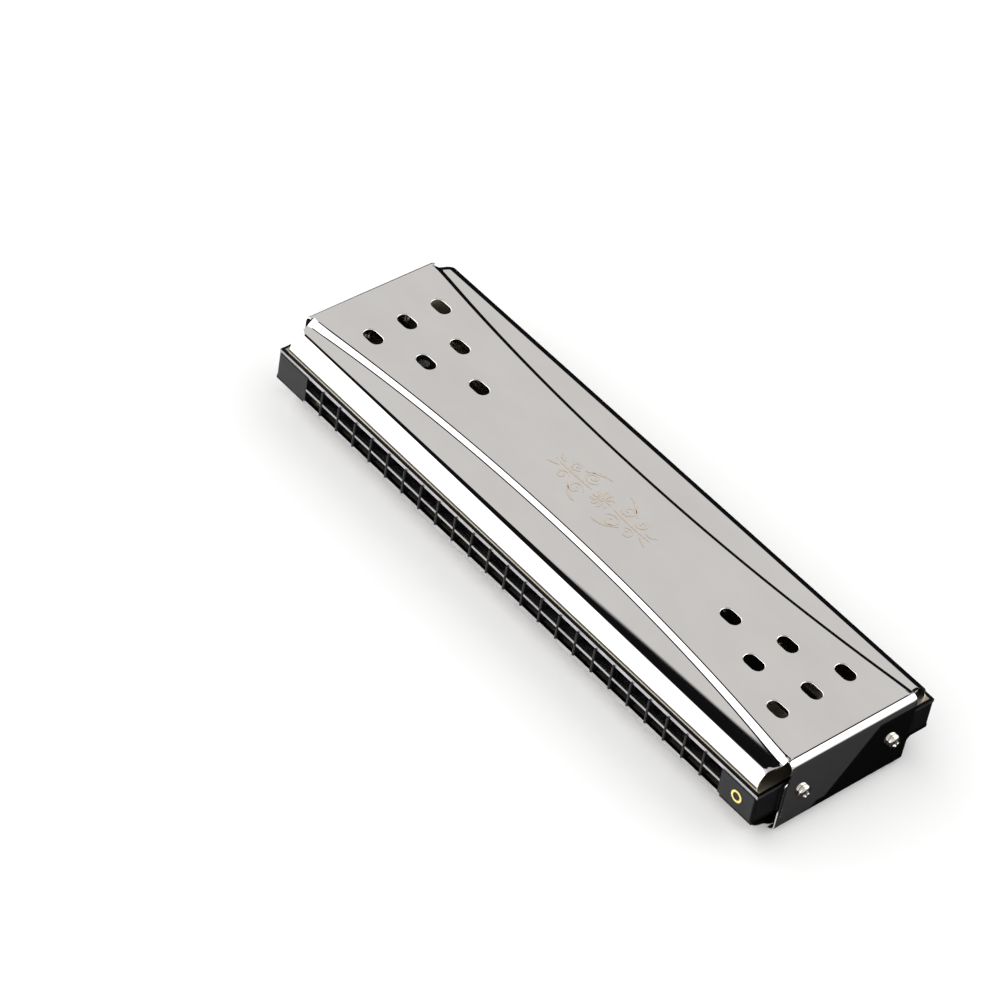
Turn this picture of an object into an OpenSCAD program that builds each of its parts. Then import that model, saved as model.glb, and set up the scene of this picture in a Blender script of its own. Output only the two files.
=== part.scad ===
// Double-sided tremolo harmonica: two mouthpieces, one along each long side.
// Lengths are in millimetres. +X runs along the instrument, +Z is up, and the
// lower cover's panel rests on z = 0. Sub-parts are drawn about the middle
// plane of the comb and lifted by half_height at the end.

/* [Mouthpiece] */
// Number of hole columns along each mouthpiece
columns = 24; // [20:2:24]
// Distance between neighbouring hole columns
pitch = 6.4; // [6.3:0.05:6.4]
// Half of the width across the tooth noses
nose_reach = 28.7; // [28.65:0.05:29]
// Thickness of a tooth of the comb between two air cells
tooth_t = 1.2; // [1:0.1:1.6]
// Thickness of a tooth's narrow nose at the mouthpiece
nose_t = 0.7; // [0.5:0.1:0.9]

/* [Comb and plates] */
// Length of the comb and of the reed plates
comb_length = 175.7; // [174:0.1:176]
// Height of one half of the comb
comb_half_h = 3.7; // [3.5:0.1:4]
// Thickness of the metal septum between the upper and the lower holes
septum_t = 0.7; // [0.5:0.1:0.9]
// Thickness of a reed plate
plate_t = 1; // [0.9:0.1:1.2]

/* [Reeds] */
// Length of the longest, lowest reed tongue
bass_reed = 15.6; // [13:0.1:15.6]
// Length of the shortest, highest reed tongue
treble_reed = 8.8; // [7:0.1:11]
// Width of every reed tongue
reed_w = 2.2; // [1.8:0.1:2.4]
// Thickness of every reed tongue
reed_t = 0.25; // [0.2:0.05:0.3]

/* [Covers] */
// Height of the whole instrument over both cover panels
total_height = 22.5; // [22:0.1:24]
// Thickness of the cover sheet
sheet_t = 0.4; // [0.3:0.05:0.4]
// Half of the width across a cover's feet
cover_reach = 27.2; // [27:0.1:27.4]
// Outer radius of a cover's rounded shoulder
shoulder_r = 4.6; // [3:0.1:4.9]
// Depth of the step from the raised panel down to the shelf beside it
panel_step = 1.4; // [1.2:0.1:2.2]
// Half width of the raised panel at its waist
panel_waist = 14.25; // [13:0.05:15]
// Half width of the raised panel at its ends
panel_end = 19.95; // [19:0.05:20]
// Length over the end tabs of the upper cover
cover_length = 178.5; // [178:0.1:179]

/* [Hidden] */
$fn = 48;

eps = 0.01;
past = 2;                            // how far a cutting tool runs past a face
half_height = total_height / 2;
comb_end = comb_length / 2;

// Mouthpiece: the septum and the end blocks stand behind the noses, the plates behind both
setback = 0.25;
block_reach = nose_reach - setback;
plate_reach = nose_reach - 2 * setback;
nose_depth = 1.4;
tooth_front = nose_reach - nose_depth;
cell_back = 8.2;                     // the comb's spine is solid as far as this
reed_field = columns * pitch;
septum_l = reed_field + 0.2;
corner_r = 0.8;                      // upright corners of the comb
septum_seat_gap = 0.1;               // play of the septum in its seat and round the noses
septum_notch_gap = 0.05;

// End faces: both covers' tabs lie one over the other on a raised seat of the comb
tab_gap = 0.05;
tab_reach = panel_end;
inner_tab_reach = panel_end + 0.6;
seat_reach = inner_tab_reach + 0.5;
outer_tab_x = cover_length / 2;
inner_tab_x = outer_tab_x - sheet_t - tab_gap;
seat_x = inner_tab_x - sheet_t - tab_gap;
fold_r = 2;
outer_tab_drop = 7;                  // how far below the middle plane the outer tab ends
inner_tab_rise = 5;                  // how far above the middle plane the inner tab ends

// Plates and reeds, drawn for the rear upper side: outward is +Y and the bass end is +X
plate_inner = 4.8;
plate_top = comb_half_h + plate_t;
root_y = 10.4;                       // line about which the tongues swing
slot_side_gap = 0.12;
slot_tip_gap = 0.15;
lift_off = 0.05;                     // gap between a tongue and the face of its plate
root_gap = 0.06;
foot_w = 2.6;
foot_l = 1.8;
foot_t = reed_t + lift_off;
rivet_y = root_y - root_gap - foot_l / 2;
rivet_d = 1;
rivet_hole_d = 1.1;
rivet_head_d = 1.5;
rivet_head_t = 0.2;

// Fasteners
plate_screw_d = 1.4;
plate_screw_hole_d = 1.5;
plate_screw_head_d = 2.7;
plate_screw_head_t = 0.8;
plate_screw_l = 3.2;
plate_screw_slot = 0.4;
spine_screw_y = 6.5;
plate_screw_spots = [[-81.5, spine_screw_y], [-6 * pitch, spine_screw_y], [0, spine_screw_y],
    [6 * pitch, spine_screw_y], [81.5, spine_screw_y], [-82, 24.4], [82, 24.4]];
dowel_d = 3;
dowel_hole_d = 3.1;
dowel_l = 7;
dowel_x = [-66, 0, 66];
end_screw_y = 14.3;
end_screw_d = 2;
end_screw_hole_d = 2.2;
end_screw_l = 9;
end_screw_head_d = 3.8;
end_screw_head_t = 1.45;
end_screw_dome = 0.6;
end_screw_cross = 0.6;
end_screw_cross_l = 2.66;
end_screw_cross_depth = 0.7;

// Covers
shelf_z = half_height - panel_step;
arch_end = outer_tab_x - 3.05;       // the side walls stop short of the folded ends
tab_lap = 0.5;                       // how far a tab's sheet runs back under the panel
panel_bow_r = (outer_tab_x * outer_tab_x + pow(panel_end - panel_waist, 2))
    / (2 * (panel_end - panel_waist));
panel_bow_fn = 720;
hole_l = 5.8;
hole_w = 3.6;
hole_row_x = [46, 60, 74];           // rows of one, two and three sound holes
hole_step_y = 10.8;

// Key marks on the end blocks: plain gilt rings and bars
mark_x = 82.2;
mark_t = 0.12;
mark_ring_d = 3.4;
mark_ring_w = 0.6;

function column_x(i) = ((columns - 1) / 2 - i) * pitch;
function reed_l(i) = bass_reed - (bass_reed - treble_reed) * i / (columns - 1);

// --- placing -------------------------------------------------------------
module lifted() translate([0, 0, half_height]) children();
module rear_upper() lifted() children();
module rear_lower() lifted() mirror([0, 0, 1]) children();
module front_upper() lifted() rotate([0, 0, 180]) children();
module front_lower() lifted() rotate([0, 0, 180]) mirror([0, 0, 1]) children();

// --- comb ----------------------------------------------------------------
module rounded_plan(length, width, r) {
    square([length - 2 * r, width], center = true);
    square([length, width - 2 * r], center = true);
    for (sx = [-1, 1], sy = [-1, 1])
        translate([sx * (length / 2 - r), sy * (width / 2 - r)]) circle(r);
}

module cell_plan(i) {
    wide = pitch - tooth_t;
    mouth = pitch - nose_t;
    translate([column_x(i) - wide / 2, cell_back]) square([wide, tooth_front - cell_back + eps]);
    translate([column_x(i) - mouth / 2, tooth_front]) square([mouth, nose_depth + past]);
}

module comb_plan() {
    difference() {
        union() {
            rounded_plan(comb_length, 2 * block_reach, corner_r);
            square([2 * seat_x, 2 * seat_reach], center = true);
        }
        for (turn = [0, 180], i = [0:columns - 1]) rotate(turn) cell_plan(i);
        for (turn = [0, 180], at = plate_screw_spots)
            rotate(turn) translate(at) circle(d = plate_screw_hole_d);
        for (x = dowel_x) translate([x, 0]) circle(d = dowel_hole_d);
    }
    // rounded noses, proud of the end blocks
    for (turn = [0, 180], i = [1:columns - 1]) rotate(turn)
        translate([column_x(i) + pitch / 2, 0]) {
            translate([-nose_t / 2, tooth_front]) square([nose_t, nose_depth - nose_t / 2]);
            translate([0, nose_reach - nose_t / 2]) circle(d = nose_t);
        }
}

module comb_half() {
    difference() {
        linear_extrude(comb_half_h) comb_plan();
        // seat of the septum
        translate([-septum_l / 2 - septum_seat_gap, -tooth_front - septum_seat_gap, -past])
            cube([septum_l + 2 * septum_seat_gap, 2 * (tooth_front + septum_seat_gap),
                past + septum_t / 2]);
        for (sx = [-1, 1], sy = [-1, 1]) translate([sx * seat_x, sy * end_screw_y, 0])
            rotate([0, 90, 0]) cylinder(d = end_screw_d, h = 2 * end_screw_l, center = true);
    }
}

module comb_upper() color([0.1, 0.1, 0.11]) lifted() comb_half();
module comb_lower() color([0.1, 0.1, 0.11]) lifted() mirror([0, 0, 1]) comb_half();

module septum() color([0.84, 0.83, 0.85]) lifted()
    translate([0, 0, -septum_t / 2]) linear_extrude(septum_t) difference() {
        square([septum_l, 2 * block_reach], center = true);
        for (turn = [0, 180], i = [0:columns]) rotate(turn)
            translate([column_x(i) + pitch / 2, tooth_front + past - septum_notch_gap])
                square([nose_t + 2 * septum_notch_gap, 2 * past], center = true);
        for (x = dowel_x) translate([x, 0]) circle(d = dowel_hole_d);
    }

module comb_dowels() color([0.75, 0.75, 0.77]) lifted()
    for (x = dowel_x) translate([x, 0, 0]) cylinder(d = dowel_d, h = dowel_l, center = true);

// --- reed plates ---------------------------------------------------------
module reed_plate() color([0.82, 0.81, 0.82])
    translate([0, 0, comb_half_h]) linear_extrude(plate_t) difference() {
        translate([-comb_end, plate_inner]) square([comb_length, plate_reach - plate_inner]);
        for (i = [0:columns - 1]) translate([column_x(i), 0]) {
            translate([-reed_w / 2 - slot_side_gap, root_y])
                square([reed_w + 2 * slot_side_gap, reed_l(i) + slot_tip_gap]);
            translate([0, rivet_y]) circle(d = rivet_hole_d);
        }
        for (at = plate_screw_spots) translate(at) circle(d = plate_screw_hole_d);
    }

// Height at which a tongue's or foot's underside lies: blow reeds hang in the air
// cells under the plate, draw reeds stand on top of it
function below(t, gap) = comb_half_h - gap - t;
function above(gap) = plate_top + gap;

module tongue(i, z) translate([column_x(i) - reed_w / 2, root_y + root_gap, z])
    cube([reed_w, reed_l(i) - root_gap, reed_t]);

module blow_reeds() color([0.83, 0.7, 0.4])
    for (i = [0:2:columns - 1]) tongue(i, below(reed_t, lift_off));
module draw_reeds() color([0.83, 0.7, 0.4])
    for (i = [1:2:columns - 1]) tongue(i, above(lift_off));

module reed_foot(i, z) difference() {
    translate([column_x(i) - foot_w / 2, root_y - root_gap - foot_l, z]) cube([foot_w, foot_l, foot_t]);
    translate([column_x(i), rivet_y, z - past]) cylinder(d = rivet_hole_d, h = foot_t + 2 * past);
}

module reed_feet() color([0.83, 0.7, 0.4]) {
    for (i = [0:2:columns - 1]) reed_foot(i, below(foot_t, 0));
    for (i = [1:2:columns - 1]) reed_foot(i, above(0));
}

module rivet(i, z) {
    grip = plate_t + foot_t;
    translate([column_x(i), rivet_y, z]) rotate_extrude() polygon([
        [0, -rivet_head_t], [rivet_head_d / 2, -rivet_head_t], [rivet_head_d / 2, 0],
        [rivet_d / 2, 0], [rivet_d / 2, grip], [rivet_head_d / 2, grip],
        [rivet_head_d / 2, grip + rivet_head_t], [0, grip + rivet_head_t]]);
}

module rivets() color([0.8, 0.68, 0.42]) {
    for (i = [0:2:columns - 1]) rivet(i, comb_half_h - foot_t);
    for (i = [1:2:columns - 1]) rivet(i, comb_half_h);
}

module plate_screw() difference() {
    translate([0, 0, plate_top]) rotate_extrude() polygon([
        [0, -plate_screw_l], [plate_screw_d / 2, -plate_screw_l], [plate_screw_d / 2, 0],
        [plate_screw_head_d / 2, 0], [plate_screw_head_d / 2, plate_screw_head_t],
        [0, plate_screw_head_t]]);
    translate([0, 0, plate_top + plate_screw_head_t])
        cube([plate_screw_head_d + past, plate_screw_slot, plate_screw_head_t], center = true);
}

module plate_screws() color([0.78, 0.78, 0.8])
    for (turn = [0, 180], at = plate_screw_spots) rotate(turn) translate(at) plate_screw();

// --- covers --------------------------------------------------------------
module arch_section(inset) {
    w = cover_reach - inset;
    top = shelf_z - inset;
    r = shoulder_r - inset;
    translate([-w, 0]) square([2 * w, top - r]);
    translate([r - w, 0]) square([2 * (w - r), top]);
    for (s = [-1, 1]) translate([s * (w - r), top - r]) circle(r);
}

module arch(inset, reach) rotate([90, 0, 90]) translate([0, 0, -reach])
    linear_extrude(2 * reach) arch_section(inset);

module panel(inset, reach) linear_extrude(half_height - inset) difference() {
    square([2 * reach, 2 * cover_reach], center = true);
    for (s = [-1, 1]) translate([0, s * (panel_waist + panel_bow_r)])
        circle(r = panel_bow_r + inset, $fn = panel_bow_fn);
}

module sound_hole(x, y) translate([x, y, shelf_z - past]) linear_extrude(panel_step + 2 * past) {
    square([hole_l - hole_w, hole_w], center = true);
    for (s = [-1, 1]) translate([s * (hole_l - hole_w) / 2, 0]) circle(d = hole_w);
}

module sound_holes()
    for (sx = [-1, 1], row = [0:2], n = [0:row])
        sound_hole(sx * hole_row_x[row], (n - row / 2) * hole_step_y);

// Folded end: outline in the X-Z plane, from inside the panel to the tab's free edge
module fold_section(inset, tab_x, tab_z, from_x) {
    r = fold_r - inset;
    side = tab_x - inset;
    top = half_height - inset;
    translate([from_x, tab_z]) square([side - r - from_x, top - tab_z]);
    translate([from_x, tab_z]) square([side - from_x, top - r - tab_z]);
    translate([side - r, top - r]) circle(r);
}

module end_tab(tab_x, tab_z, reach) difference() {
    rotate([90, 0, 0]) translate([0, 0, -reach]) linear_extrude(2 * reach) difference() {
        fold_section(0, tab_x, tab_z, arch_end - tab_lap);
        fold_section(sheet_t, tab_x, tab_z - past, arch_end - tab_lap - past);
    }
    for (s = [-1, 1]) translate([tab_x, s * end_screw_y, 0])
        rotate([0, 90, 0]) cylinder(d = end_screw_hole_d, h = 2 * past, center = true);
}

module cover(tab_x, tab_z, reach) {
    difference() {
        union() {
            arch(0, arch_end);
            panel(0, arch_end);
        }
        arch(sheet_t, arch_end + past);
        panel(sheet_t, arch_end + past);
        translate([-cover_length, -cover_length / 2, -past])
            cube([2 * cover_length, cover_length, plate_top + past]);
        sound_holes();
    }
    for (turn = [0, 180]) rotate([0, 0, turn]) end_tab(tab_x, tab_z, reach);
}

module top_cover() color([0.77, 0.76, 0.75]) lifted()
    cover(outer_tab_x, -outer_tab_drop, tab_reach);
module bottom_cover() color([0.77, 0.76, 0.75]) lifted() mirror([0, 0, 1])
    cover(inner_tab_x, -inner_tab_rise, inner_tab_reach);

module end_screw(y) translate([outer_tab_x, y, 0]) rotate([0, 90, 0]) difference() {
    union() {
        translate([0, 0, -end_screw_l]) cylinder(d = end_screw_d, h = end_screw_l + eps);
        cylinder(d = end_screw_head_d, h = end_screw_head_t - end_screw_dome);
        translate([0, 0, end_screw_head_t - end_screw_dome])
            cylinder(d1 = end_screw_head_d, d2 = end_screw_head_d / 2, h = end_screw_dome);
    }
    for (turn = [0, 90]) rotate(turn) translate([0, 0, end_screw_head_t])
        cube([end_screw_cross_l, end_screw_cross, 2 * end_screw_cross_depth], center = true);
}

module end_screws() color([0.8, 0.79, 0.75])
    for (y = [-end_screw_y, end_screw_y]) end_screw(y);
module end_screws_right() lifted() end_screws();
module end_screws_left() lifted() rotate([0, 0, 180]) end_screws();

// --- key marks -----------------------------------------------------------
module on_end_block() translate([-mark_x, block_reach, 0]) rotate([-90, 0, 0]) children();

module key_mark_rear() color([0.8, 0.66, 0.3]) lifted() on_end_block()
    linear_extrude(mark_t) for (s = [-1, 1])
        translate([s * mark_ring_w, 0]) square([mark_ring_w, mark_ring_d], center = true);

module key_mark_front() color([0.8, 0.66, 0.3]) lifted() rotate([0, 0, 180]) on_end_block()
    linear_extrude(mark_t) difference() {
        circle(d = mark_ring_d);
        circle(d = mark_ring_d - 2 * mark_ring_w);
    }

comb_upper();
comb_lower();
septum();
comb_dowels();
front_upper() reed_plate();  // plate_front_upper
front_lower() reed_plate();  // plate_front_lower
rear_upper() reed_plate();  // plate_rear_upper
rear_lower() reed_plate();  // plate_rear_lower
front_upper() blow_reeds();  // blow_reeds_front_upper
front_lower() blow_reeds();  // blow_reeds_front_lower
rear_upper() blow_reeds();  // blow_reeds_rear_upper
rear_lower() blow_reeds();  // blow_reeds_rear_lower
front_upper() draw_reeds();  // draw_reeds_front_upper
front_lower() draw_reeds();  // draw_reeds_front_lower
rear_upper() draw_reeds();  // draw_reeds_rear_upper
rear_lower() draw_reeds();  // draw_reeds_rear_lower
front_upper() reed_feet();  // reed_feet_front_upper
front_lower() reed_feet();  // reed_feet_front_lower
rear_upper() reed_feet();  // reed_feet_rear_upper
rear_lower() reed_feet();  // reed_feet_rear_lower
front_upper() rivets();  // rivets_front_upper
front_lower() rivets();  // rivets_front_lower
rear_upper() rivets();  // rivets_rear_upper
rear_lower() rivets();  // rivets_rear_lower
rear_upper() plate_screws();  // plate_screws_upper
rear_lower() plate_screws();  // plate_screws_lower
top_cover();
bottom_cover();
end_screws_left();
end_screws_right();
key_mark_front();
key_mark_rear();
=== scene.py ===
"""Looks of the double-sided tremolo harmonica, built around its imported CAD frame."""
import math
import random

import bmesh
import bpy
import numpy as np
from mathutils import Matrix, Vector
from mathutils.geometry import delaunay_2d_cdt


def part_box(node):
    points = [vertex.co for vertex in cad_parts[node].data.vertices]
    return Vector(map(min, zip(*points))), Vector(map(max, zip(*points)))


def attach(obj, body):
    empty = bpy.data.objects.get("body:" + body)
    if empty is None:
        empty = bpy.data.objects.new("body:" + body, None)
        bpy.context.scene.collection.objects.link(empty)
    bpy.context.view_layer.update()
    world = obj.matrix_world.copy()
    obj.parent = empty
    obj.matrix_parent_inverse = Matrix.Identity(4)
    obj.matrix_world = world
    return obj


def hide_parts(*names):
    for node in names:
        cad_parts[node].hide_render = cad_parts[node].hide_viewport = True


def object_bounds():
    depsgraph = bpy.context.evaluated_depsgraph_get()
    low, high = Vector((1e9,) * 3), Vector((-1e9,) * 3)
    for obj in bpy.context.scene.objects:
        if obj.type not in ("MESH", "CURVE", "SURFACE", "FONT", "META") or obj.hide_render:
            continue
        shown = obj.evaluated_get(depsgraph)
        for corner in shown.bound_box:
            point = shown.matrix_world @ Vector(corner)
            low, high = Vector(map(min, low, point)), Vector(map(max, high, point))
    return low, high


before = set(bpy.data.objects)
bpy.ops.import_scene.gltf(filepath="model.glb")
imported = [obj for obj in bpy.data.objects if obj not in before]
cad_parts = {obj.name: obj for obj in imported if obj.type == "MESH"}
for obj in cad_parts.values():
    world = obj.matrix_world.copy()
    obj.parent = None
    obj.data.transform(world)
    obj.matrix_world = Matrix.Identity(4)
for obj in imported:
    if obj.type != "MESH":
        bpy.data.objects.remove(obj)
cad_lo, cad_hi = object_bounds()

# Everything below is drawn in millimetres about the comb's middle plane, and
# placed() turns it into metres in the row frame.
MM = 0.001
MID = (cad_lo.z + cad_hi.z) / 2 / MM
HALF_HEIGHT = (cad_hi.z - cad_lo.z) / 2 / MM
UP, DOWN = 1, -1

# Covers. The sheet stays a hair inside the CAD cover, so that the etching has room.
PANEL_Z = HALF_HEIGHT - 0.05
ORNAMENT_Z = HALF_HEIGHT - 0.005
FOOT_Z = 4.7
SHEET_T = 0.35
# The raised panel's half width is PANEL_WAIST in the middle and grows with x squared,
# by 5.6 mm at 85.3 mm from the middle.
PANEL_WAIST, PANEL_BOW = 13.15, 5.6 / 85.3**2
# Step down from the panel: radius of both bends, and tilt of the wall between them
STEP_R, WALL_TILT = 1.2, math.radians(38)
# Shelf beside the panel: depth, and how it falls off beyond CROWN_START
SHELF_DROP, SHELF_CROWN, CROWN_START = 0.96, 0.0084, 14.5
SHOULDER_Y, SHOULDER_R, FLANK_TILT = 22.94, 4.55, math.radians(78)
# Narrow row of faces along an edge, which keeps the shading of the flat beside it even
GUARD = 0.4
# Near each end the step and shelf stretch to the fold, over the last END_RUN of the
# arch, and less and less from STRETCH_Y outwards over STRETCH_FADE.
END_RUN, STRETCH_Y, STRETCH_FADE = 4, 20.5, 4
# Folded end tabs: bend, where the slit beside it ends, half width, lower edge, corners
FOLD_R = 2.0
SLIT_BACK = 0.25
HINGE_SPARE = 0.3
TAB_HALF = {UP: 19.9, DOWN: 20.5}
TAB_FREE_Z = {UP: -7.0, DOWN: -5.0}
TAB_CORNER_R = 1.6
SCREW_Y = 14.3
SCREW_HOLE_R = 1.1
# Sound holes: rows as (x, holes in the row)
HOLE_ROWS = [(46.0, 1), (60.0, 2), (74.0, 3)]
HOLE_STEP = 10.8
HOLE_L, HOLE_W = 5.8, 3.6
# The rolled edge of a sound hole, as (distance outside the hole, depth)
ROLLED_EDGE = [(0.0, 0.12), (0.05, 0.05), (0.12, 0.012), (0.22, 0.0)]

outer_tab_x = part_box("top_cover")[1].x / MM
inner_tab_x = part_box("bottom_cover")[1].x / MM
ARCH_END = outer_tab_x - 3.3


def placed(points):
    """Millimetres about the middle plane to metres in the row frame."""
    return (np.asarray(points, float) + (0, 0, MID)) * MM


def new_object(name, verts, faces, body="root", smooth=True):
    """A mesh object from millimetre points, joined where points coincide."""
    bm = bmesh.new()
    made = [bm.verts.new(p) for p in placed(verts)]
    for f in faces:
        if len(set(f)) == len(f):
            try:
                bm.faces.new([made[i] for i in f])
            except ValueError:
                pass
    bmesh.ops.remove_doubles(bm, verts=bm.verts, dist=0.004 * MM)
    bmesh.ops.dissolve_degenerate(bm, edges=bm.edges, dist=0.001 * MM)
    bmesh.ops.recalc_face_normals(bm, faces=bm.faces)
    for f in bm.faces:
        f.smooth = smooth
    me = bpy.data.meshes.new(name)
    bm.to_mesh(me)
    bm.free()
    obj = bpy.data.objects.new(name, me)
    bpy.context.scene.collection.objects.link(obj)
    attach(obj, body)
    return obj


class Sheet:
    """Collects points and faces of one piece."""

    def __init__(self):
        self.verts, self.faces = [], []

    def grid(self, rows, closed=False):
        """Quads between neighbouring rows of equally many points."""
        n = len(rows[0])
        base = len(self.verts)
        for row in rows:
            self.verts += [tuple(p) for p in row]
        for r in range(len(rows) - 1):
            for i in range(n if closed else n - 1):
                a, b = base + r * n + i, base + r * n + (i + 1) % n
                self.faces.append((a, b, b + n, a + n))

    def flat(self, loops, to_space):
        """Triangles between an outer loop and the holes in it, all in one plane."""
        pts, edges = [], []
        for loop in loops:
            base, n = len(pts), len(loop)
            pts += [Vector(p) for p in loop]
            edges += [(base + i, base + (i + 1) % n) for i in range(n)]
        out, _, tris, *_ = delaunay_2d_cdt(pts, edges, [], 0, 1e-7)
        base = len(self.verts)
        self.verts += [to_space(p.x, p.y) for p in out]
        for t in tris:
            c = sum((out[i] for i in t), Vector((0, 0))) / len(t)
            if inside(c, loops[0]) and not any(inside(c, h) for h in loops[1:]):
                self.faces.append(tuple(base + i for i in t))


def inside(p, loop):
    """True if p lies in the closed loop."""
    hit = False
    for (x0, y0), (x1, y1) in zip(loop, loop[1:] + loop[:1]):
        if (y0 > p.y) != (y1 > p.y) and p.x < x0 + (p.y - y0) * (x1 - x0) / (y1 - y0):
            hit = not hit
    return hit


def slot_loop(cx, cy, length, width, n=12):
    """Outline of a rounded slot that lies along x."""
    r, run = width / 2, (length - width) / 2
    pts = []
    for s, start in ((1, -90), (-1, 90)):
        for k in range(n + 1):
            a = math.radians(start + 180 * k / n)
            pts.append((cx + s * run + r * math.cos(a), cy + r * math.sin(a)))
    return pts


def round_loop(cx, cy, r, n=28):
    """Outline of a circle."""
    return [
        (cx + r * math.cos(2 * math.pi * k / n), cy + r * math.sin(2 * math.pi * k / n))
        for k in range(n)
    ]


# --- covers ---------------------------------------------------------------
# Where points lie across an end, as fractions of the tab's half width
ACROSS = np.linspace(-1, 1, 41)


def bow(x):
    """Half width of the raised panel where it starts to bend down."""
    return PANEL_WAIST + PANEL_BOW * x**2


def shelf(y):
    """Height of the shelf beside the panel, and its slope."""
    away = np.maximum(y - CROWN_START, 0)
    return PANEL_Z - SHELF_DROP - SHELF_CROWN * away**2, 2 * SHELF_CROWN * away


def side_rows(x):
    """Rows of points from the panel's edge over the step, shelf and shoulder to the foot."""
    rows = []
    edge, sin_w, cos_w = bow(x), math.sin(WALL_TILT), math.cos(WALL_TILT)
    for a in np.linspace(0, WALL_TILT, 7):
        rows.append(
            (edge + STEP_R * math.sin(a), PANEL_Z - STEP_R + STEP_R * math.cos(a) + 0 * x)
        )
    wall_y, wall_z = rows[-1]
    foot_y = wall_y + 1.5
    for _ in range(5):
        foot_z, slope = shelf(foot_y)
        tilt = np.arctan(slope)
        run = (wall_z - foot_z + STEP_R * (cos_w - np.cos(tilt))) / sin_w
        foot_y = wall_y + run * cos_w + STEP_R * (sin_w - np.sin(tilt))
    centre_y = wall_y + run * cos_w + STEP_R * sin_w
    centre_z = wall_z - run * sin_w + STEP_R * cos_w
    for k in (0.33, 0.67):  # along the straight wall
        rows.append((wall_y + k * run * cos_w, wall_z - k * run * sin_w))
    for k in np.linspace(0, 1, 7):
        a = WALL_TILT + (tilt - WALL_TILT) * k
        rows.append((centre_y - STEP_R * np.sin(a), centre_z - STEP_R * np.cos(a)))
    for k in np.linspace(0, 1, 11)[1:]:
        y = foot_y + (SHOULDER_Y - foot_y) * k
        rows.append((y, shelf(y)[0]))
    start_z, slope = shelf(SHOULDER_Y)
    lean = math.atan(slope)
    centre_y = SHOULDER_Y - SHOULDER_R * math.sin(lean)
    centre_z = start_z - SHOULDER_R * math.cos(lean)
    for a in np.linspace(lean, FLANK_TILT, 36)[1:]:
        rows.append(
            (centre_y + SHOULDER_R * math.sin(a), centre_z + SHOULDER_R * math.cos(a))
        )
    flank_y, flank_z = rows[-1]
    rows.append((flank_y + (flank_z - FOOT_Z) / math.tan(FLANK_TILT), FOOT_Z))
    return [np.stack((x, y + 0 * x, z + 0 * x), 1) for y, z in rows]


def slanted_end(row, reach):
    """Lets the step and shelf run on to the fold, while the shoulder ends at ARCH_END."""
    x, y, z = row.T
    near_end = np.maximum(np.abs(x) - (ARCH_END - END_RUN), 0) / END_RUN
    inboard = 1 - np.clip((np.abs(y) - STRETCH_Y) / STRETCH_FADE, 0, 1)
    return np.stack((x + np.sign(x) * near_end * (reach - ARCH_END) * inboard, y, z), 1)


def panel_outline(strip_x, fold_x, end_half):
    """The flat panel's outline, run round once, and the guard row inside it."""
    slit = fold_x - SLIT_BACK
    inner = fold_x - GUARD

    def edge(x):
        """Half width of the panel, allowing for the ends that slanted_end() stretched."""
        k = np.clip((abs(x) - (ARCH_END - END_RUN)) / (slit - ARCH_END + END_RUN), 0, 1)
        return float(bow(abs(x) - k * (slit - ARCH_END)))

    long_side = [(x, edge(x)) for x in strip_x]
    # the points of the fold that the panel reaches; past them the fold's edge is free
    hinge = [end_half * v for v in ACROSS if abs(end_half * v) < edge(slit) + HINGE_SPARE]
    outline = (
        [(x, -y) for x, y in long_side]
        + [(fold_x, y) for y in hinge]
        + [(x, y) for x, y in reversed(long_side)]
        + [(-fold_x, y) for y in reversed(hinge)]
    )
    guard = []
    for x, y in outline:
        gx = max(-inner, min(inner, x))
        limit = edge(gx) - GUARD
        on_end = abs(abs(x) - fold_x) < 1e-6
        gy = max(-limit, min(limit, y)) if on_end else math.copysign(limit, y)
        guard.append((gx, gy))
    return outline, guard


def sound_holes(sheet):
    """Rolled edges of the sound holes; returns the loop around each of them."""
    loops = []
    for x, count in HOLE_ROWS:
        for sx in (-1, 1):
            for n in range(count):
                y = (n - (count - 1) / 2) * HOLE_STEP
                rolled = []
                for out, sink in ROLLED_EDGE:
                    ring = slot_loop(sx * x, y, HOLE_L + 2 * out, HOLE_W + 2 * out)
                    rolled.append([(*p, PANEL_Z - sink) for p in ring])
                sheet.grid(rolled, closed=True)
                loops.append(ring)
    return loops


def folded_end(sheet, s, tab_x, end_half, free_z):
    """The bend at end s (1 or -1) of the panel, and the tab that hangs from it."""
    fold_x, fold_z = tab_x - FOLD_R, PANEL_Z - FOLD_R
    bend = []
    for a in np.linspace(0, math.pi / 2, 13):
        x, z = fold_x + FOLD_R * math.sin(a), fold_z + FOLD_R * math.cos(a)
        bend.append([(s * x, end_half * v, z) for v in ACROSS])
    sheet.grid(bend)

    def at(y, z):
        return (s * tab_x, y, z)

    brow = [(end_half * v, fold_z) for v in ACROSS]
    under = [(end_half * v, fold_z - GUARD) for v in ACROSS]
    sheet.grid([[at(*p) for p in brow], [at(*p) for p in under]])
    r = TAB_CORNER_R
    corners = []
    for cy, start in ((end_half - r, 0), (-(end_half - r), -90)):
        for k in range(9):
            a = math.radians(start - 90 * k / 8)
            corners.append((cy + r * math.cos(a), free_z + r + r * math.sin(a)))
    loops = [under + corners]
    for y in (-SCREW_Y, SCREW_Y):
        rim, ring = round_loop(y, 0, SCREW_HOLE_R), round_loop(y, 0, SCREW_HOLE_R + 0.3)
        sheet.grid([[at(*p) for p in rim], [at(*p) for p in ring]], closed=True)
        loops.append(ring)
    sheet.flat(loops, at)


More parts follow.
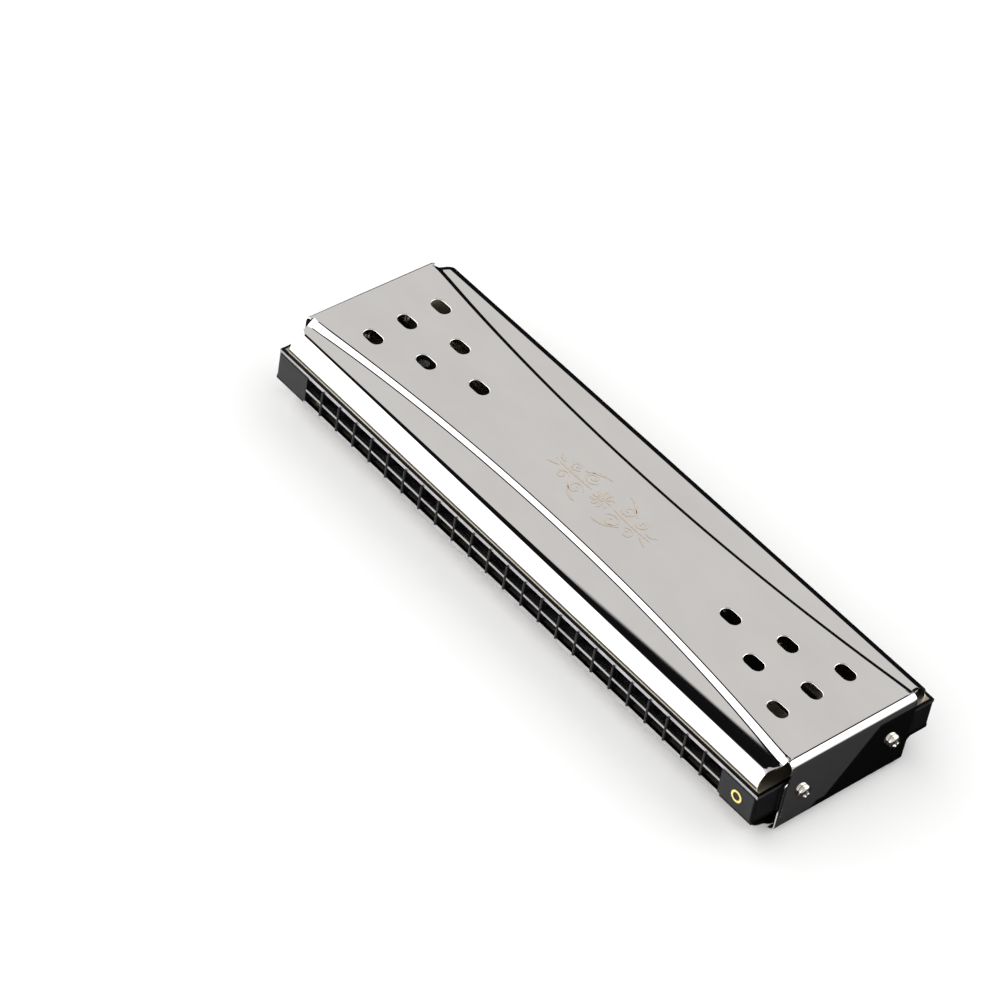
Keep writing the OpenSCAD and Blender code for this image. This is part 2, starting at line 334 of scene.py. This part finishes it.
def soften(obj, width, angle, segments=2):
    """Rounds the sharp edges of a piece and evens out its shading."""
    bevel = obj.modifiers.new("edges", "BEVEL")
    bevel.width = width * MM
    bevel.segments = segments
    bevel.limit_method = "ANGLE"
    bevel.angle_limit = math.radians(angle)
    obj.modifiers.new("normals", "WEIGHTED_NORMAL").keep_sharp = False


def cover(name, node, side, tab_x):
    """One stamped cover with its two folded end tabs."""
    sheet = Sheet()
    fold_x = tab_x - FOLD_R
    end_half = TAB_HALF[side]
    arch_x = np.linspace(-ARCH_END, ARCH_END, 125)
    rows = [slanted_end(row, fold_x - SLIT_BACK) for row in side_rows(arch_x)]
    for s in (-1, 1):
        sheet.grid([row * (1, s, 1) for row in rows])
    outline, guard = panel_outline(rows[0][:, 0], fold_x, end_half)

    def up(x, y):
        return (x, y, PANEL_Z)

    sheet.grid([[up(*p) for p in outline], [up(*p) for p in guard]], closed=True)
    sheet.flat([guard] + sound_holes(sheet), up)
    for s in (-1, 1):
        folded_end(sheet, s, tab_x, end_half, TAB_FREE_Z[side])
    if side == DOWN:
        sheet.verts = [(x, y, -z) for x, y, z in sheet.verts]
    obj = new_object(name, sheet.verts, sheet.faces)
    # outward: the panel's middle has to face away from the comb
    flat = max(obj.data.polygons, key=lambda p: p.area)
    if flat.normal.z * side < 0 and abs(flat.normal.z) > 0.5:
        obj.data.flip_normals()
    solid = obj.modifiers.new("thickness", "SOLIDIFY")
    solid.thickness = SHEET_T * MM
    solid.offset = -1
    solid.material_offset = 1
    solid.material_offset_rim = 0
    soften(obj, 0.06, 50)
    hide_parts(node)
    return obj


top_cover = cover("top_cover_sheet", "top_cover", UP, outer_tab_x)
bottom_cover = cover("bottom_cover_sheet", "bottom_cover", DOWN, inner_tab_x)


# --- ornament -------------------------------------------------------------
def ribbon(sheet, points, width, z):
    """A flat stroke along the points, widest halfway and tapered to both ends."""
    pts = [np.array(q, float) for q in points]
    left, right = [], []
    for i, q in enumerate(pts):
        step = pts[min(i + 1, len(pts) - 1)] - pts[max(i - 1, 0)]
        n = np.array((-step[1], step[0])) / (np.linalg.norm(step) + 1e-9)
        half = 0.62 * width * (0.25 + 0.75 * math.sin(math.pi * i / (len(pts) - 1)))
        left.append((*(q + n * half), z))
        right.append((*(q - n * half), z))
    sheet.grid([left, right])


def spiral(cx, cy, start, turns, r0, r1, n=34):
    """Points of a scroll that winds from radius r0 to r1 about (cx, cy)."""
    for k in range(n):
        u = k / (n - 1)
        a = math.radians(start) + 2 * math.pi * turns * u
        r = r0 + (r1 - r0) * u**0.8
        yield (cx + r * math.cos(a), cy + r * math.sin(a))


def mirrored(points, sx, sy):
    """The points in the quarter of the panel that the signs sx and sy name."""
    return [(sx * x, sy * y) for x, y in points]


def ornament():
    """A frosted scroll ornament, etched across the middle of the upper panel."""
    sheet = Sheet()
    z = ORNAMENT_Z
    # rosette of ten petals about a small ring
    for k in range(10):
        a = 2 * math.pi * k / 10
        petal = [
            (r * math.cos(a + t), r * math.sin(a + t))
            for r, t in ((0.9, 0), (1.7, 0.22), (2.5, 0.2), (3.1, 0.02))
        ]
        ribbon(sheet, petal, 0.75, z)
    ribbon(sheet, list(round_loop(0, 0, 0.55, 20)) + [(0.55, 0)], 0.5, z)
    # in each quarter two scrolls and two leaves, and a stem out to each side
    strokes = [
        (list(spiral(6.6, 3.0, 190, 1.3, 2.3, 0.5)), 0.7),
        (list(spiral(11.9, 2.5, 200, 1.2, 1.8, 0.4)), 0.65),
        ([(3.2 + 0.9 * t, 6.3 - 0.07 * t * t) for t in range(8)], 0.7),
        ([(14.6 + 0.6 * t, 1.1 + 0.05 * t * t) for t in range(6)], 0.75),
    ]
    for sx in (-1, 1):
        for sy in (-1, 1):
            for points, width in strokes:
                ribbon(sheet, mirrored(points, sx, sy), width, z)
        ribbon(sheet, [(sx * (4.0 + 1.2 * t), 0.0) for t in range(12)], 0.6, z)
    piece = new_object("panel_ornament", sheet.verts, sheet.faces, smooth=False)
    return piece


panel_ornament = ornament()


# --- end screws -----------------------------------------------------------
HEAD_R, HEAD_RIM, SHANK_R = 1.9, 0.5, 1.0
BLADE_HALF_W, BLADE_HALF_T, BLADE_DEPTH = 1.25, 0.36, 0.75
BOX_FACES = [(0, 1, 2, 3), (7, 6, 5, 4), (0, 4, 5, 1), (1, 5, 6, 2), (2, 6, 7, 3), (3, 7, 4, 0)]


def lathe(profile, n=40):
    """Rows of a turned shape about +x: profile is (x, radius) pairs."""
    return [
        [
            (x, r * math.cos(2 * math.pi * k / n), r * math.sin(2 * math.pi * k / n))
            for k in range(n)
        ]
        for x, r in profile
    ]


def screw_profile(seat, head_top):
    """Half section of a pan-head screw along x, from the shank's tip to the head's top."""
    dome = []
    rise = head_top - seat - HEAD_RIM
    for k in range(1, 10):
        a = math.pi / 2 * k / 10
        dome.append((seat + HEAD_RIM + rise * math.sin(a), HEAD_R * math.cos(a) ** 0.8))
    return [
        (seat - 7, 0.0),
        (seat - 7, 0.8),
        (seat - 6.6, SHANK_R),
        (seat + 0.02, SHANK_R),
        (seat + 0.02, HEAD_R - 0.12),
        (seat + 0.12, HEAD_R),
        (seat + HEAD_RIM, HEAD_R),
        *dome,
        (head_top, 0.0),
    ]


def recess(head_top, turn):
    """The tool that cuts a cross recess: two tapered blades, turned about x."""
    tool = bmesh.new()
    for blade in (turn, turn + math.pi / 2):
        corners = []
        for x, half, t in (
            (head_top + 0.2, BLADE_HALF_W, BLADE_HALF_T),
            (head_top - BLADE_DEPTH, BLADE_HALF_W * 0.45, BLADE_HALF_T * 0.7),
        ):
            for dy, dz in ((-half, -t), (half, -t), (half, t), (-half, t)):
                y = dy * math.cos(blade) - dz * math.sin(blade)
                z = dy * math.sin(blade) + dz * math.cos(blade)
                corners.append(tool.verts.new(placed((x, y, z))))
        for f in BOX_FACES:
            tool.faces.new([corners[i] for i in f])
    bmesh.ops.recalc_face_normals(tool, faces=tool.faces)
    mesh = bpy.data.meshes.new("recess")
    tool.to_mesh(mesh)
    tool.free()
    obj = bpy.data.objects.new("recess", mesh)
    bpy.context.scene.collection.objects.link(obj)
    return obj


def cut_away(obj, tool):
    """Subtracts the tool from the piece for good, and removes the tool."""
    boolean = obj.modifiers.new("recess", "BOOLEAN")
    boolean.operation = "DIFFERENCE"
    boolean.solver = "EXACT"
    boolean.use_self = True
    boolean.object = tool
    bpy.context.view_layer.update()
    final = obj.evaluated_get(bpy.context.evaluated_depsgraph_get())
    mesh = bpy.data.meshes.new_from_object(final)
    obj.modifiers.clear()
    obj.data = mesh
    bpy.data.objects.remove(tool)


def end_screws(name, node, side):
    """The two screws at end side (1 or -1), each drawn about x at the right end, then moved."""
    head_top = max(abs(corner.x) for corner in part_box(node)) / MM
    for letter, y, seed in (("a", -SCREW_Y, 11), ("b", SCREW_Y, 5)):
        sheet = Sheet()
        sheet.grid(lathe(screw_profile(outer_tab_x, head_top)), closed=True)
        head = new_object(f"{name}_{letter}", sheet.verts, sheet.faces)
        cut_away(head, recess(head_top, random.Random(seed).uniform(-0.5, 0.5)))
        move = Matrix.Translation((0, y * MM, 0))
        if side == -1:
            move = Matrix.Rotation(math.pi, 4, "Z") @ move
        head.data.transform(move)
        head.data.update()
        soften(head, 0.05, 40)
        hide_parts(node)
        yield head


screw_heads = [
    *end_screws("end_screw_right", "end_screws_right", 1),
    *end_screws("end_screw_left", "end_screws_left", -1),
]


# --- materials ------------------------------------------------------------
class Nodes:
    """A node tree, with small helpers to add nodes to it."""

    def __init__(self, owner):
        owner.use_nodes = True
        self.nodes, self.links = owner.node_tree.nodes, owner.node_tree.links

    def math(self, operation, a, b):
        """Each of a and b is a number or a socket."""
        node = self.nodes.new("ShaderNodeMath")
        node.operation = operation
        for i, v in enumerate((a, b)):
            if isinstance(v, (int, float)):
                node.inputs[i].default_value = v
            else:
                self.links.new(v, node.inputs[i])
        return node.outputs[0]

    def mix(self, factor, a, b):
        """a where factor is 0 and b where it is 1; each is a colour or a socket."""
        node = self.nodes.new("ShaderNodeMix")
        node.data_type = "RGBA"
        self.links.new(factor, node.inputs["Factor"])
        for key, v in (("A", a), ("B", b)):
            if isinstance(v, tuple):
                node.inputs[key].default_value = (*v, 1)
            else:
                self.links.new(v, node.inputs[key])
        return node.outputs["Result"]


class Finish(Nodes):
    """A Principled material; the keyword arguments set its sockets."""

    def __init__(self, name, **sockets):
        self.mat = bpy.data.materials.new(name)
        super().__init__(self.mat)
        self.bsdf = self.nodes["Principled BSDF"]
        for key, value in sockets.items():
            socket = self.bsdf.inputs[key.replace("_", " ").title().replace("Ior", "IOR")]
            socket.default_value = (*value, 1) if isinstance(value, tuple) else value

    def noise(self, scale, detail=3.0, rough=0.55, seed=0.0):
        """Noise in object space; scale is in cells per metre, per axis."""
        coord = self.nodes.new("ShaderNodeTexCoord")
        mapping = self.nodes.new("ShaderNodeMapping")
        mapping.inputs["Scale"].default_value = scale
        mapping.inputs["Location"].default_value = (seed, seed * 1.7, seed * 0.6)
        tex = self.nodes.new("ShaderNodeTexNoise")
        tex.inputs["Scale"].default_value = 1
        tex.inputs["Detail"].default_value = detail
        tex.inputs["Roughness"].default_value = rough
        self.links.new(coord.outputs["Object"], mapping.inputs["Vector"])
        self.links.new(mapping.outputs["Vector"], tex.inputs["Vector"])
        return tex.outputs["Fac"]

    def spread(self, value, low, high, start=0.3, end=0.7):
        """low where value is start or less, high where it is end or more."""
        node = self.nodes.new("ShaderNodeMapRange")
        for key, v in (("From Min", start), ("From Max", end), ("To Min", low), ("To Max", high)):
            node.inputs[key].default_value = v
        self.links.new(value, node.inputs["Value"])
        return node.outputs["Result"]

    def bump(self, height, distance):
        """Bumps as high as distance, in metres."""
        node = self.nodes.new("ShaderNodeBump")
        node.inputs["Distance"].default_value = distance
        self.links.new(height, node.inputs["Height"])
        self.links.new(node.outputs["Normal"], self.bsdf.inputs["Normal"])

    def upright(self):
        """1 on faces that look sideways, 0 on flats that look up or down."""
        geo = self.nodes.new("ShaderNodeNewGeometry")
        split = self.nodes.new("ShaderNodeSeparateXYZ")
        self.links.new(geo.outputs["True Normal"], split.inputs[0])
        flat = self.math("ABSOLUTE", split.outputs["Z"], 0)
        return self.spread(flat, 1.0, 0.0, 0.4, 0.8)

    def to(self, value, socket):
        """Feeds a socket of the shader."""
        self.links.new(value, self.bsdf.inputs[socket])


def chrome():
    """Polished plating with faint drawing streaks, smudges and waves."""
    m = Finish("chrome_plated_sheet", metallic=1.0)
    streak = m.noise((25, 900, 900), 4)
    smudge = m.noise((45, 70, 70), 5, 0.6, 3.1)
    rough = m.math(
        "ADD", m.spread(streak, 0.012, 0.032), m.spread(smudge, 0.0, 0.02, 0.45, 0.75)
    )
    m.to(rough, "Roughness")
    m.to(m.mix(m.spread(smudge, 0, 1), (0.84, 0.828, 0.812), (0.79, 0.775, 0.76)), "Base Color")
    m.bump(m.noise((14, 30, 30), 1.0, 0.3, 7.7), 0.000006)
    return m.mat


def cover_inside():
    """The covers' inner face, which is not polished."""
    m = Finish("cover_inner_face", metallic=1.0)
    haze = m.noise((220, 220, 220), 4)
    m.to(m.spread(haze, 0.32, 0.5), "Roughness")
    m.to(m.mix(m.spread(haze, 0, 1), (0.2, 0.185, 0.17), (0.12, 0.11, 0.1)), "Base Color")
    m.bump(m.noise((900, 900, 900), 2), 0.00001)
    return m.mat


def black_plastic():
    """The comb's moulded plastic."""
    m = Finish("black_comb_plastic", ior=1.46)
    m.bsdf.inputs["Specular IOR Level"].default_value = 0.22
    grain = m.noise((2600, 2600, 2600), 3)
    cloud = m.noise((120, 160, 160), 4, 0.6, 5.0)
    m.to(m.spread(cloud, 0.3, 0.46), "Roughness")
    m.to(m.mix(m.spread(cloud, 0, 1), (0.0045, 0.0045, 0.005), (0.008, 0.008, 0.009)), "Base Color")
    m.bump(grain, 0.000012)
    return m.mat


def plate_metal(name, block_x):
    """Sheared sheet with bright edges; its flats are painted near black as shade on the rim outside the
    cover's foot.

    Beyond block_x the comb's end block hides the edge, which is black there.
    """
    m = Finish(name, metallic=1.0)
    brushed = m.noise((60, 2400, 2400), 4)
    grime = m.noise((260, 500, 500), 3, 0.6, 4.0)
    coord = m.nodes.new("ShaderNodeTexCoord")
    split = m.nodes.new("ShaderNodeSeparateXYZ")
    m.links.new(coord.outputs["Object"], split.inputs[0])
    along = m.math("ABSOLUTE", split.outputs["X"], 0)
    across = m.math("ABSOLUTE", split.outputs["Y"], 0)
    # painted shade: rim is 1 on the flats outside the cover's foot and past the plate's end
    rim = m.math(
        "MAXIMUM", m.spread(across, 0, 1, 0.02715, 0.0273), m.spread(along, 0, 1, 0.08705, 0.0872)
    )
    hidden = m.spread(along, 0, 1, block_x - 0.0001, block_x + 0.0001)
    bare = m.mix(m.spread(brushed, 0, 1), (0.62, 0.56, 0.44), (0.5, 0.44, 0.34))
    # where rim is 1 the flats take a near-black colour, which is painted shade and not a finish of the
    # metal
    flat = m.mix(rim, bare, (0.008, 0.0075, 0.007))
    cut = m.mix(m.spread(grime, 0, 1), (0.46, 0.45, 0.465), (0.34, 0.33, 0.34))
    edge = m.mix(hidden, cut, (0.006, 0.006, 0.0065))
    m.to(m.mix(m.upright(), flat, edge), "Base Color")
    m.to(m.spread(brushed, 0.3, 0.44), "Roughness")
    m.bump(brushed, 0.000006)
    return m.mat


def frosted():
    """The matt tone that etching leaves on chrome."""
    m = Finish("frosted_etching")
    m.bsdf.inputs["Specular IOR Level"].default_value = 0.2
    grain = m.noise((1800, 1800, 1800), 4)
    m.to(m.mix(m.spread(grain, 0, 1), (0.53, 0.475, 0.415), (0.44, 0.39, 0.335)), "Base Color")
    m.to(m.spread(grain, 0.6, 0.8), "Roughness")
    m.bump(grain, 0.000003)
    return m.mat


def metal(name, light, dark, low, high, scale=(400, 400, 400), bump=0.000005):
    """A metal whose colour and gloss vary with a noise of the given scale."""
    m = Finish(name, metallic=1.0)
    wear = m.noise(scale, 4)
    patch = m.noise((90, 90, 90), 3, 0.5, 2.2)
    m.to(m.mix(m.spread(patch, 0, 1), light, dark), "Base Color")
    m.to(m.spread(wear, low, high), "Roughness")
    m.bump(wear, bump)
    return m.mat


CHROME = chrome()
INSIDE = cover_inside()
PLASTIC = black_plastic()
UPPER_PLATE = plate_metal("reed_plate_alloy", 0.09)
LOWER_PLATE = plate_metal("reed_plate_alloy_lower", 0.0771)
SEPTUM = metal("septum_alloy", (0.4, 0.39, 0.4), (0.3, 0.29, 0.3), 0.22, 0.36, (80, 1800, 1800))
PIN = metal("pin_steel", (0.66, 0.66, 0.68), (0.52, 0.52, 0.54), 0.25, 0.4)
BRASS = metal("reed_brass", (0.87, 0.68, 0.36), (0.74, 0.54, 0.26), 0.2, 0.38, (150, 2600, 2600), 0.000008)
RIVET = metal("rivet_brass", (0.85, 0.68, 0.4), (0.7, 0.53, 0.28), 0.25, 0.4)
SCREW = metal("screw_steel", (0.76, 0.76, 0.78), (0.62, 0.62, 0.64), 0.16, 0.3, (900, 900, 900))
NICKEL = metal("nickel_plated_steel", (0.84, 0.8, 0.73), (0.7, 0.66, 0.6), 0.07, 0.16, (700, 700, 700))
FROST = frosted()
GILT = metal("gilt_paint", (0.86, 0.72, 0.25), (0.7, 0.56, 0.17), 0.28, 0.45, (1500, 1500, 1500))

# Material by the start of a node's name; the longest match counts
LOOKS = {
    "comb_": PLASTIC,
    "septum": SEPTUM,
    "comb_dowels": PIN,
    "plate_front": UPPER_PLATE,
    "plate_rear": UPPER_PLATE,
    "plate_front_lower": LOWER_PLATE,
    "plate_rear_lower": LOWER_PLATE,
    "plate_screws": SCREW,
    "blow_reeds": BRASS,
    "draw_reeds": BRASS,
    "reed_feet": BRASS,
    "rivets": RIVET,
    "key_mark": GILT,
}
for node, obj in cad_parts.items():
    found = [k for k in LOOKS if node.startswith(k)]
    if found:
        obj.data.materials.clear()
        obj.data.materials.append(LOOKS[max(found, key=len)])
for obj in (top_cover, bottom_cover):
    obj.data.materials.append(CHROME)
    obj.data.materials.append(INSIDE)
for obj in screw_heads:
    obj.data.materials.append(NICKEL)
panel_ornament.data.materials.append(FROST)


# --- stage ----------------------------------------------------------------
CAMERA_AZIMUTH, CAMERA_ELEVATION, CAMERA_ROLL = -47.307, 43.05, 10.711
CAMERA_PLACE = (474.13, -549.06, 682.08)
FAR = 4000


def direction(azimuth, elevation):
    """Unit vector towards azimuth and elevation, in degrees."""
    a, e = math.radians(azimuth), math.radians(elevation)
    return (math.cos(a) * math.cos(e), math.sin(a) * math.cos(e), math.sin(e))


def camera():
    """A long lens at the photograph's angle, held slightly askew."""
    data = bpy.data.cameras.new("view")
    data.lens, data.sensor_width = 149.73, 36
    data.clip_start, data.clip_end = 0.05, 20
    cam = bpy.data.objects.new("view", data)
    bpy.context.scene.collection.objects.link(cam)
    back = Vector(direction(CAMERA_AZIMUTH, CAMERA_ELEVATION))
    level = Vector((0, 0, 1)).cross(back).normalized()
    right = Matrix.Rotation(math.radians(CAMERA_ROLL), 3, back) @ level
    turn = Matrix((right, back.cross(right), back)).transposed()
    cam.matrix_world = Matrix.Translation(Vector(placed(CAMERA_PLACE))) @ turn.to_4x4()
    bpy.context.scene.camera = cam


camera()


class Studio(Nodes):
    """The world: cards and soft boxes seen by direction."""

    def __init__(self):
        world = bpy.data.worlds.new("studio")
        bpy.context.scene.world = world
        super().__init__(world)
        self.nodes.clear()
        coord = self.nodes.new("ShaderNodeTexCoord")
        unit = self.nodes.new("ShaderNodeVectorMath")
        unit.operation = "NORMALIZE"
        self.links.new(coord.outputs["Generated"], unit.inputs[0])
        self.dir = unit.outputs[0]

    def plane(self, normal):
        """Cosine between the direction looked in and normal."""
        node = self.nodes.new("ShaderNodeVectorMath")
        node.operation = "DOT_PRODUCT"
        self.links.new(self.dir, node.inputs[0])
        node.inputs[1].default_value = normal
        return node.outputs["Value"]

    def ramp(self, value, start, end):
        """0 below start and 1 above end, eased between them."""
        node = self.nodes.new("ShaderNodeMapRange")
        node.interpolation_type = "SMOOTHSTEP"
        node.inputs["From Min"].default_value = start
        node.inputs["From Max"].default_value = end
        self.links.new(value, node.inputs["Value"])
        return node.outputs["Result"]

    def disc(self, azimuth, elevation, radius, edge):
        """1 inside a round card, 0 outside it; sizes in degrees."""
        value = self.plane(direction(azimuth, elevation))
        return self.ramp(
            value, math.cos(math.radians(radius + edge)), math.cos(math.radians(radius - edge))
        )


def studio():
    """White surroundings with a black gap and a gray card over the far side."""
    s = Studio()
    height = s.plane((0, 0, 1))
    gray, dark = (0.70, 0.69, 0.68), (0.006, 0.006, 0.007)
    wall, zenith, white = (0.82, 0.82, 0.82), (0.55, 0.55, 0.545), (2.2, 2.2, 2.2)

    def both(a, b):
        return s.math("MULTIPLY", a, b)

    def above(low, high):
        """0 below the elevation low and 1 above high."""
        return s.ramp(height, math.sin(math.radians(low)), math.sin(math.radians(high)))

    def below(low, high):
        """1 below the elevation low and 0 above high."""
        return s.math("SUBTRACT", 1.0, above(low, high))

    def between(low, high, soft):
        """1 between two azimuths less than half a turn apart."""
        return both(
            s.ramp(s.plane(direction(low + 90, 0)), -soft, soft),
            s.ramp(s.plane(direction(high - 90, 0)), -soft, soft),
        )

    colour = s.mix(above(62, 78), wall, zenith)
    # black high over the far side
    gap = both(both(between(88, 218, 0.05), below(70, 74)), above(24, 26))
    colour = s.mix(gap, colour, dark)
    # the gray card in it, whose slanted edge runs through two directions
    slant = Vector(direction(140.5, 56.4)).cross(Vector(direction(135, 54)))
    if slant.dot(Vector(direction(130, 42))) < 0:
        slant = -slant
    card = both(s.ramp(s.plane(tuple(slant.normalized())), -0.008, 0.008), below(54.0, 55.2))
    card = both(card, between(94, 200, 0.03))
    colour = s.mix(card, colour, gray)
    # black again under the card
    colour = s.mix(both(between(96, 137, 0.03), below(23.5, 25.5)), colour, dark)
    # round soft boxes: azimuth, elevation and radius
    for azimuth, elevation, radius in ((200, 23.5, 35.5), (236, 10, 47), (60, 40, 33)):
        colour = s.mix(s.disc(azimuth, elevation, radius, 1.2), colour, white)
    # matt pieces are lit evenly, and the camera sees a plain backdrop
    paths = s.nodes.new("ShaderNodeLightPath")
    colour = s.mix(paths.outputs["Is Diffuse Ray"], colour, (1.0, 1.0, 1.0))
    colour = s.mix(paths.outputs["Is Camera Ray"], colour, (0.96, 0.96, 0.955))
    back = s.nodes.new("ShaderNodeBackground")
    s.links.new(colour, back.inputs["Color"])
    out = s.nodes.new("ShaderNodeOutputWorld")
    s.links.new(back.outputs[0], out.inputs["Surface"])


studio()


def stage_plane(name, outline, z, colour, glow=0.0):
    """A flat matt card through the outline's points, z millimetres over the ground."""
    me = bpy.data.meshes.new(name)
    me.from_pydata([(x * MM, y * MM, z * MM) for x, y in outline], [], [tuple(range(len(outline)))])
    obj = bpy.data.objects.new(name, me)
    bpy.context.scene.collection.objects.link(obj)
    m = Finish(name, base_color=colour, roughness=1.0, emission_color=colour, emission_strength=glow)
    m.bsdf.inputs["Specular IOR Level"].default_value = 0.0
    me.materials.append(m.mat)
    return obj


def rectangle(x0, y0, x1, y1):
    """Outline of a rectangle from one corner to the opposite one."""
    return [(x0, y0), (x1, y0), (x1, y1), (x0, y1)]


def reflected_cards():
    """Cards on the floor that only the chrome sees, as a studio's black and white cloths.

    The gray one lies on top of the black one at the end.
    """
    black, gray, white = (0.004, 0.004, 0.0045), (0.042, 0.042, 0.044), (0.97, 0.97, 0.965)
    end_x = outer_tab_x - 1
    cut = [(89, -FAR), (FAR, -FAR), (FAR, FAR), (99.6, FAR), (100.4, 24.5), (89, -10)]
    yield stage_plane("black_card_end", rectangle(end_x, -FAR, FAR, FAR), 0.1, black)
    yield stage_plane("gray_card_end", cut, 0.15, gray)
    yield stage_plane("black_card_far_side", rectangle(-FAR, 17, end_x, FAR), 0.1, black)
    yield stage_plane("white_card_near_side", rectangle(-FAR, -FAR, end_x, -31), 0.1, white, 0.45)


stage_plane("floor", rectangle(-FAR, -FAR, FAR, FAR), -0.2, (0.93, 0.93, 0.925))
for card in reflected_cards():
    card.visible_camera = False
    card.visible_diffuse = False
    card.visible_shadow = False
    card.visible_transmission = False
    card.visible_volume_scatter = False

bpy.context.scene.view_settings.view_transform = "Standard"
bpy.context.scene.view_settings.look = "None"
